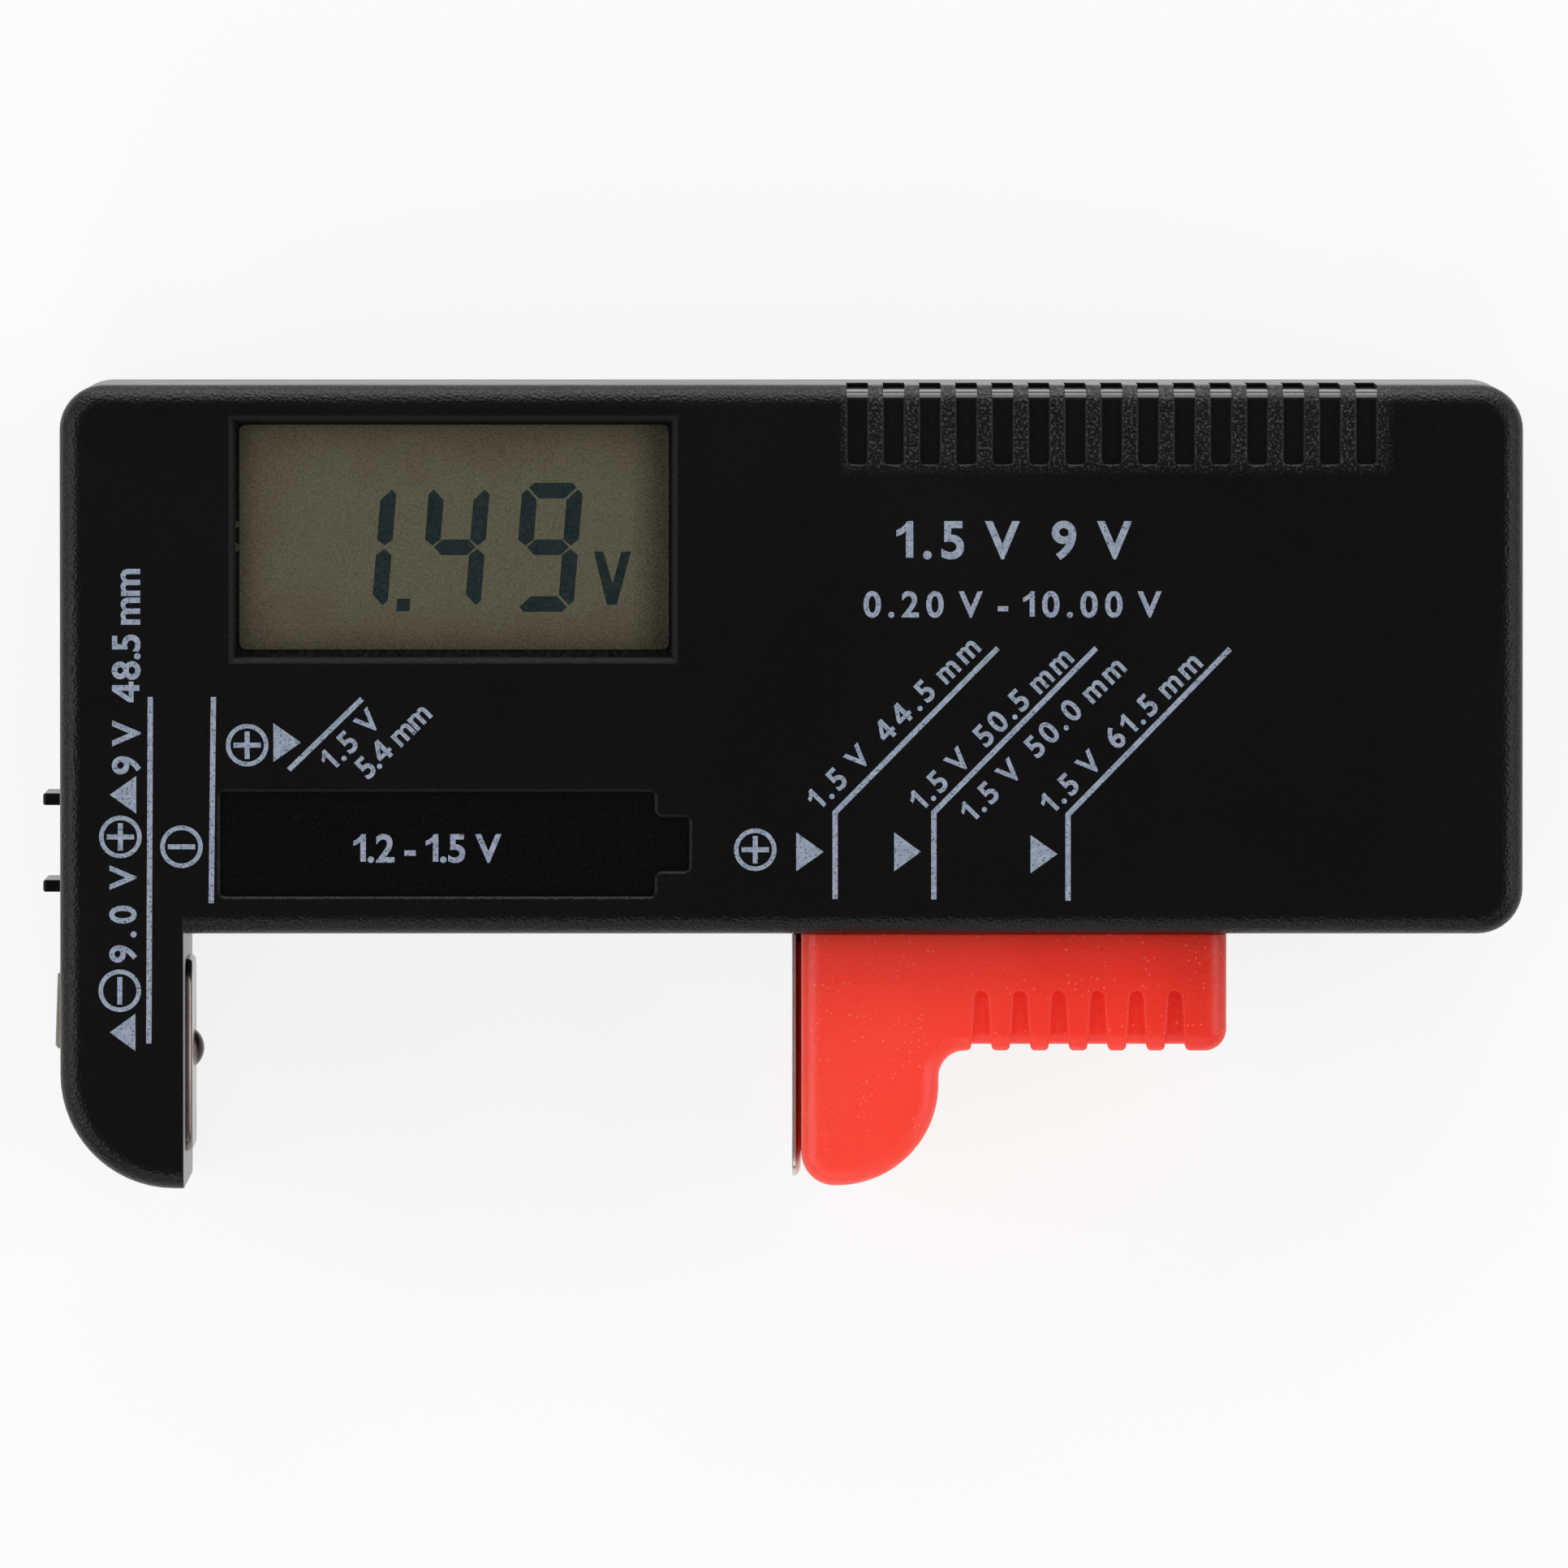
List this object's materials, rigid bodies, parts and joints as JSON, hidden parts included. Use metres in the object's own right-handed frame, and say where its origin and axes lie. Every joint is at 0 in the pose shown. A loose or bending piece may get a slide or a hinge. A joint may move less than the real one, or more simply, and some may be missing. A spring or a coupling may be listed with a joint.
{
  "type": "battery tester",
  "caption": "Handheld tester for household cells: flat black case with a small display and a fixed arm, and a red slider that closes on the cell.",
  "frame": {"origin": "middle of the bounding box, on the back face that it lies on", "axes": "+X along the case away from the arm, +Y from the arm's tip to the grooved top edge, +Z from the back to the display face"},
  "size_m": [0.1116, 0.0604, 0.025],
  "materials": {
    "case_black": "fine spark texture, satin",
    "slider_red": "fine spark texture, satin",
    "contact_plate": "bright nickel plate",
    "rail_brass": "bright rolled",
    "screw_steel": "zinc plate",
    "board_laminate": "solder mask",
    "display_film": "satin film",
    "display_glass": "clear",
    "display_back_film": "satin silver film",
    "spacer_white": "moulded",
    "zebra_rubber": "striped elastomer",
    "epoxy_black": "potted",
    "ferrite": "dull",
    "can_sleeve": "sleeved can",
    "component_body": "moulded",
    "diode_body": "moulded",
    "resistor_body": "lacquered",
    "wire_black": "vinyl",
    "wire_red": "vinyl",
    "wire_yellow": "vinyl"
  },
  "bodies": {
    "case": {"front_shell": "case_black", "rear_shell": "case_black", "case_screws": "screw_steel", "circuit_board": "board_laminate", "board_screws": "screw_steel", "lcd_cell": "display_glass", "lcd_front_polariser": "display_film", "lcd_rear_reflector": "display_back_film", "lcd_spacer": "spacer_white", "zebra_strip": "zebra_rubber", "controller_blob": "epoxy_black", "boost_inductor": "ferrite", "filter_capacitor": "can_sleeve", "storage_capacitor": "can_sleeve", "boost_transistor": "component_body", "rectifier_diode": "diode_body", "cell_load_resistor": "resistor_body", "nine_volt_load_resistor": "resistor_body", "negative_contact": "contact_plate", "nine_volt_positive_contact": "contact_plate", "nine_volt_negative_contact": "contact_plate", "rail_strip": "rail_brass", "negative_wire": "wire_black", "nine_volt_positive_wire": "wire_red", "nine_volt_negative_wire": "wire_black", "rail_wire": "wire_yellow"},
    "slider": {"slider_body": "slider_red", "slider_contact": "contact_plate"}
  },
  "joints": [
    {"name": "slider_slide", "type": "slide", "parent": "case", "child": "slider", "axis": [1, 0, 0], "range_m": [-0.0442, 0.0175]}
  ]
}
